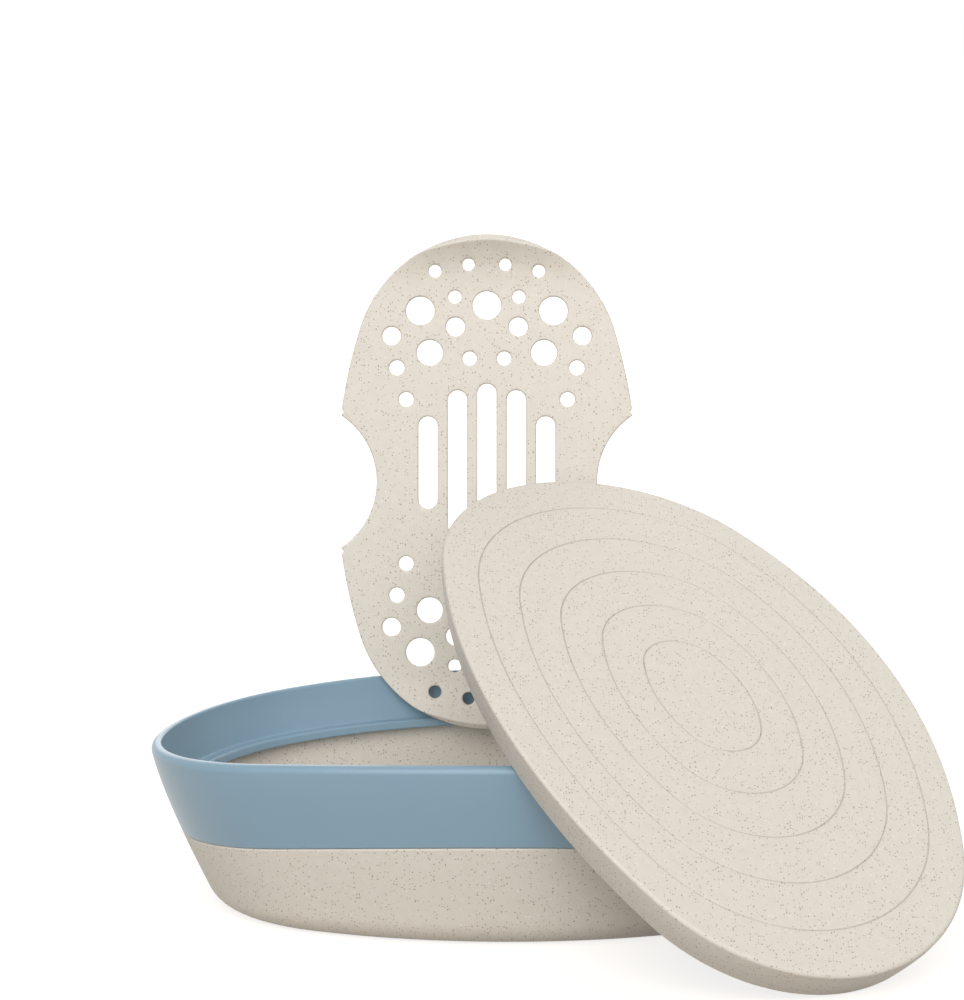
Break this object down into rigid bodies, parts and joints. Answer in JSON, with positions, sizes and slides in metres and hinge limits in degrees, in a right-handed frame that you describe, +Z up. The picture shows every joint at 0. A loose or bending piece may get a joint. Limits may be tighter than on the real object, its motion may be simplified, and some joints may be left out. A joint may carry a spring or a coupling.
{
  "type": "travel soap box",
  "caption": "Oval travel soap box taken apart: flared base with a soft sealing band, perforated drain insert standing in it, and an arched plug lid leaning on the rim.",
  "frame": {"origin": "middle of the base's flat foot, on the surface that the box stands on", "axes": "+Z up, X along the box, Y across it with the viewer at -Y; the lid leans at the front right and the insert stands at the back"},
  "size_m": [0.1412, 0.1221, 0.1168],
  "materials": {
    "base_shell": "fine matt moulded wheat straw plastic with dark specks",
    "seal_band": "satin soft moulded thermoplastic elastomer, grey blue",
    "drain_insert": "fine matt moulded wheat straw plastic with dark specks",
    "lid": "fine matt moulded wheat straw plastic with dark specks"
  },
  "bodies": {
    "base": {"base_shell": "base_shell", "seal_band": "seal_band"},
    "insert": {"drain_insert": "drain_insert"},
    "lid": {"lid": "lid"}
  },
  "joints": [
    {"name": "lid_lift", "type": "slide", "parent": "base", "child": "lid", "axis": [0.2714, -0.4739, 0.8377], "range_m": [0, 0.08]},
    {"name": "insert_lift", "type": "slide", "parent": "base", "child": "insert", "axis": [0, 0.1478, 0.989], "range_m": [0, 0.06]}
  ]
}
